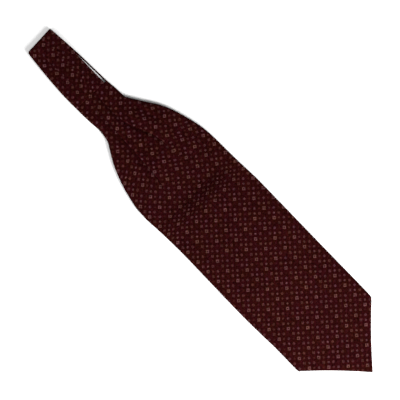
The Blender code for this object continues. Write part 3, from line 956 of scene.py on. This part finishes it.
# Marks of the print: place in the repeat, half sizes of the hole and of the mark, and colour.
MARKS = table(
    "along across inner outer is_round colour",
    (0, 0, 0.052, 0.158, False, (0.07, 0.0264, 0.0248)),
    (0.5, 0, 0, 0.128, False, (0.044, 0.0138, 0.0131)),
    (0, 0.5, 0, 0.1, True, (0.0456, 0.013, 0.0126)),
    (0.5, 0.5, 0, 0.09, True, (0.0492, 0.0166, 0.0194)),
    (0.75, 0.25, 0, 0.075, True, (0.0625, 0.0234, 0.0236)),
    (0.25, 0.25, 0, 0.075, True, (0.04, 0.0112, 0.0104)),
    (0.75, 0.75, 0, 0.08, True, (0.0261, 0.0051, 0.0043)),
    (0.25, 0.75, 0, 0.08, True, (0.0198, 0.0031, 0.0037)),
)
MARK_SOFTNESS = 0.012
WARM_TINT = (1.03, 1.05, 0.86)
COOL_TINT = (0.97, 0.95, 1.12)

# Ground of the print, which goes between these reds in slubby patches.
GROUND_WARM = (0.0162, 0.0022, 0.0012, 1.0)
GROUND_COOL = (0.0152, 0.0014, 0.0020, 1.0)
GROUND_MAUVE = (0.0160, 0.0017, 0.0023, 1.0)
MAUVE_GAIN = 4.0
PATCH_STREAK_SHARE = 0.6
PATCH_RANGE = (0.42, 0.58)

# Ribs and streaks, counted in each repeat.
TWILL_RIBS = 36
STREAKS_ACROSS = 4.5
STREAKS_ALONG = 1.0
STREAK_GRAIN = (1.0, 2.0)

# Grains of the cloth: scale and detail of their noise.
GRAINS = {
    "wobble": (1500.0, 1.0),
    "patch": (75.0, 2.0),
    "thread": (2600.0, 2.0),
    "cloud": (22.0, 3.0),
    "speckle": (560.0, 1.0),
    "wear": (260.0, 3.0),
    "gloss": (120.0, 3.0),
}
WOBBLE = 0.022

# How strongly each grain lightens and darkens the colour: gain, then level.
SHADES = {
    "rib": (0.24, 0.93),
    "thread": (0.3, 0.85),
    "cloud": (0.3, 0.85),
    "speckle": (2.5, -0.25),
    "streak": (0.9, 0.55),
}

# Raised ribs, threads and marks.
RIB_RELIEF = 0.45
THREAD_RELIEF = 0.5
MARK_RELIEF = 0.25
THREAD_BUMP = 0.0001
BUMP_STRENGTH = 0.6

# Worn edges: how level the surface is where they start and end, and what wear does there.
EDGE_RANGE = (0.7, 0.2)
WEAR_RANGE = (0.4, 0.65)
WORN_COLOUR = (0.034, 0.009, 0.008, 1.0)
EDGE_FADING = 0.35
EDGE_ROUGHENING = 0.15

# Soft sheen, alike all over.
SHINE = {
    "Specular IOR Level": 0.004,
    "Specular Tint": (1.0, 0.1, 0.1, 1.0),
    "Sheen Weight": 0.08,
    "Sheen Roughness": 0.45,
    "Sheen Tint": (0.5, 0.06, 0.06, 1.0),
}
SILKS = table(
    "slot roughness variation",
    ("blade_silk", 0.5, 0.12), ("neckband_silk", 0.48, 0.16), ("under_silk", 0.52, 0.12),
)


# Sockets of the node that mixes two colours.
FIRST_COLOUR, SECOND_COLOUR, MIXED_COLOUR = 6, 7, 2


class SilkNodes:
    """Small helper that adds nodes to a material and links them."""

    def __init__(self, material):
        self.tree = material.node_tree

    def feed(self, socket, value):
        """Links an output to the socket, or sets the socket to a number or colour."""
        if isinstance(value, bpy.types.NodeSocket):
            self.tree.links.new(value, socket)
        else:
            socket.default_value = value

    def add(self, kind, *values, **settings):
        """Adds a node with these settings and feeds the values to its first sockets."""
        node = self.tree.nodes.new("ShaderNode" + kind)
        for key, value in settings.items():
            setattr(node, key, value)
        for socket, value in zip(node.inputs, values):
            self.feed(socket, value)
        return node

    def math(self, operation, *values):
        return self.add("Math", *values, operation=operation).outputs[0]

    def times(self, first, second):
        return self.math("MULTIPLY", first, second)

    def scale(self, value, gain, level):
        return self.math("MULTIPLY_ADD", value, gain, level)

    def mix(self, factor, first, second, blend_type="MIX"):
        node = self.add("Mix", factor, data_type="RGBA", blend_type=blend_type)
        self.feed(node.inputs[FIRST_COLOUR], first)
        self.feed(node.inputs[SECOND_COLOUR], second)
        return node.outputs[MIXED_COLOUR]

    def ramp(self, value, start, end):
        """Goes from 0 to 1 while the value goes from start to end."""
        return self.add("MapRange", value, start, end, interpolation_type="SMOOTHSTEP").outputs[0]

    def noise(self, vector, scale, detail):
        return self.add("TexNoise", vector, 0.0, scale, detail).outputs["Fac"]


def silk_material(name, roughness, variation):
    """Printed silk twill: broken burgundy ground, the small repeat, twill ribs, sheen and wear."""
    material = bpy.data.materials.new(name)
    material.use_nodes = True
    nodes = SilkNodes(material)
    calculate, times, scale = nodes.math, nodes.times, nodes.scale
    shader = material.node_tree.nodes["Principled BSDF"]
    repeat = nodes.add("SeparateXYZ", nodes.add("UVMap", uv_map=PRINT_UV).outputs[0]).outputs
    solid = nodes.add("TexCoord").outputs["Object"]
    grains = {grain: nodes.noise(solid, *values) for grain, values in GRAINS.items()}
    wobble = scale(grains["wobble"], WOBBLE, -WOBBLE / 2.0)
    along = calculate("ADD", repeat[0], wobble)
    across = calculate("SUBTRACT", repeat[1], wobble)

    def distance(coordinate, centre):
        wrapped = calculate("FRACT", calculate("ADD", coordinate, 1.5 - centre))
        return calculate("ABSOLUTE", calculate("SUBTRACT", wrapped, 0.5))

    # Slub streaks along the ribs, and the ground with its patches.
    across_twill = calculate("ADD", along, across)
    along_twill = calculate("SUBTRACT", along, across)
    across_streaks = times(across_twill, STREAKS_ACROSS)
    along_streaks = times(along_twill, STREAKS_ALONG)
    streak_place = nodes.add("CombineXYZ", across_streaks, along_streaks).outputs[0]
    grains["streak"] = nodes.noise(streak_place, *STREAK_GRAIN)
    patches = times(grains["patch"], 1.0 - PATCH_STREAK_SHARE)
    patches = scale(grains["streak"], PATCH_STREAK_SHARE, patches)
    patches = nodes.ramp(patches, *PATCH_RANGE)
    ground = nodes.mix(patches, GROUND_WARM, GROUND_COOL)
    mauve = times(distance(across, 0.0), distance(along, 0.0))
    colour = nodes.mix(times(mauve, MAUVE_GAIN), ground, GROUND_MAUVE)

    # The marks of the repeat.
    marks_height = None
    for mark in MARKS:
        to_along = distance(along, mark.along)
        to_across = distance(across, mark.across)
        if mark.is_round:
            square = times(to_across, to_across)
            reach = calculate("SQRT", scale(to_along, to_along, square))
        else:
            reach = calculate("ADD", to_along, to_across)
        mask = nodes.ramp(reach, mark.outer + MARK_SOFTNESS, mark.outer - MARK_SOFTNESS)
        if mark.inner:
            hole = nodes.ramp(reach, mark.inner - MARK_SOFTNESS, mark.inner + MARK_SOFTNESS)
            mask = times(mask, hole)
        warm, cool = (
            [*(part * share for part, share in zip(mark.colour, tint)), 1.0]
            for tint in (WARM_TINT, COOL_TINT)
        )
        colour = nodes.mix(mask, colour, nodes.mix(patches, warm, cool))
        marks_height = mask if marks_height is None else calculate("MAXIMUM", marks_height, mask)

    # Light and dark of the weave, then the worn edges.
    grains["rib"] = calculate("SINE", times(across_twill, math.tau * TWILL_RIBS))
    shade = 1.0
    for grain, (gain, level) in SHADES.items():
        shade = times(shade, scale(grains[grain], gain, level))
    shades = nodes.add("CombineXYZ", shade, shade, shade).outputs[0]
    colour = nodes.mix(1.0, colour, shades, "MULTIPLY")
    facing = nodes.add("SeparateXYZ", nodes.add("TexCoord").outputs["Normal"]).outputs
    edge = nodes.ramp(calculate("ABSOLUTE", facing[2]), *EDGE_RANGE)
    worn = times(edge, nodes.ramp(grains["wear"], *WEAR_RANGE))
    colour = nodes.mix(times(worn, EDGE_FADING), colour, WORN_COLOUR)
    rough = scale(grains["gloss"], variation, roughness - variation / 2.0)
    rough = scale(worn, EDGE_ROUGHENING, rough)
    relief = times(grains["thread"], THREAD_RELIEF)
    relief = scale(grains["rib"], RIB_RELIEF, relief)
    relief = scale(marks_height, MARK_RELIEF, relief)
    bump = nodes.add("Bump", BUMP_STRENGTH, THREAD_BUMP)
    nodes.feed(bump.inputs["Height"], relief)
    looks = {"Base Color": colour, "Roughness": rough, "Normal": bump.outputs[0], **SHINE}
    for socket, value in looks.items():
        nodes.feed(shader.inputs[socket], value)
    return material


FLOOR_HALF_SIZE = 3.0
FLOOR_CELLS = 8
FLOOR_COLOUR = (0.95, 0.95, 0.95, 1.0)
FLOOR_ROUGHNESS = 0.8
FLOOR_HEIGHT = -0.0002


def floor():
    """Plain pale floor just under the cloth."""
    shape = bmesh.new()
    cells = {"x_segments": FLOOR_CELLS, "y_segments": FLOOR_CELLS}
    bmesh.ops.create_grid(shape, size=FLOOR_HALF_SIZE, **cells)
    mesh = bpy.data.meshes.new("studio_floor")
    shape.to_mesh(mesh)
    shape.free()
    material = bpy.data.materials.new("studio_floor_paint")
    material.use_nodes = True
    shader = material.node_tree.nodes["Principled BSDF"]
    shader.inputs["Base Color"].default_value = FLOOR_COLOUR
    shader.inputs["Roughness"].default_value = FLOOR_ROUGHNESS
    mesh.materials.append(material)
    piece = link_object("studio_floor", mesh)
    piece.location = (0.0, 0.0, FLOOR_HEIGHT)


# Camera straight above, turned as in the photograph.
CAMERA_RIGHT = Vector((0.7193, -0.6947, 0.0))
CAMERA_UP = Vector((0.6947, 0.7193, 0.0))
CAMERA_PLACE = Vector((-0.0028, 0.0110, 1.512))
CAMERA_LENS = 100.0
CAMERA_SENSOR = 36.0


def camera():
    """Camera at the photograph's angle and distance."""
    data = bpy.data.cameras.new("camera")
    data.lens = CAMERA_LENS
    data.sensor_width = CAMERA_SENSOR
    piece = link_object("camera", data)
    turn = Matrix((CAMERA_RIGHT, CAMERA_UP, CAMERA_RIGHT.cross(CAMERA_UP))).transposed()
    piece.matrix_world = Matrix.Translation(CAMERA_PLACE) @ turn.to_4x4()
    bpy.context.scene.camera = piece


# Soft lamps: place and size in metres, power in watts.
LAMPS = table(
    "name place size power",
    ("tip_light", (0.15, -1.6, 0.7), 0.8, 82.0),
    ("side_light", (-1.4, 0.30, 0.75), 1.0, 24.0),
)
WORLD_STRENGTH = 0.3
WORLD_COLOUR = (1.0, 1.0, 1.0, 1.0)


def studio():
    """Soft studio light: a low lamp past the pointed end, a weaker one beside, and a pale world."""
    for lamp in LAMPS:
        data = bpy.data.lights.new(lamp.name, "AREA")
        data.size = lamp.size
        data.energy = lamp.power
        piece = link_object(lamp.name, data)
        piece.location = lamp.place
        piece.rotation_mode = "QUATERNION"
        piece.rotation_quaternion = (-Vector(lamp.place)).to_track_quat("-Z", "Y")
    world = bpy.data.worlds.new("studio_world")
    world.use_nodes = True
    background = world.node_tree.nodes["Background"]
    background.inputs["Color"].default_value = WORLD_COLOUR
    background.inputs["Strength"].default_value = WORLD_STRENGTH
    bpy.context.scene.world = world
    bpy.context.scene.view_settings.view_transform = "Standard"


blade_silk, band_silk, under_silk = [silk_material(*silk) for silk in SILKS]
blade_piece = shown_blade(blade_silk)
band_piece = neckband(band_silk)
stitch_piece = slip_stitches(band_silk)
under_piece = under_layers(under_silk)

PIECES = (
    (blade_piece, "blade_face", "blade_silk"),
    (band_piece, "neckband", "neckband_silk"),
    (under_piece, "under_layers", "under_silk"),
)
for piece, node, slot in PIECES:
    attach(piece, "root")
    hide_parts(node)

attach(stitch_piece, "root")

floor()
camera()
studio()
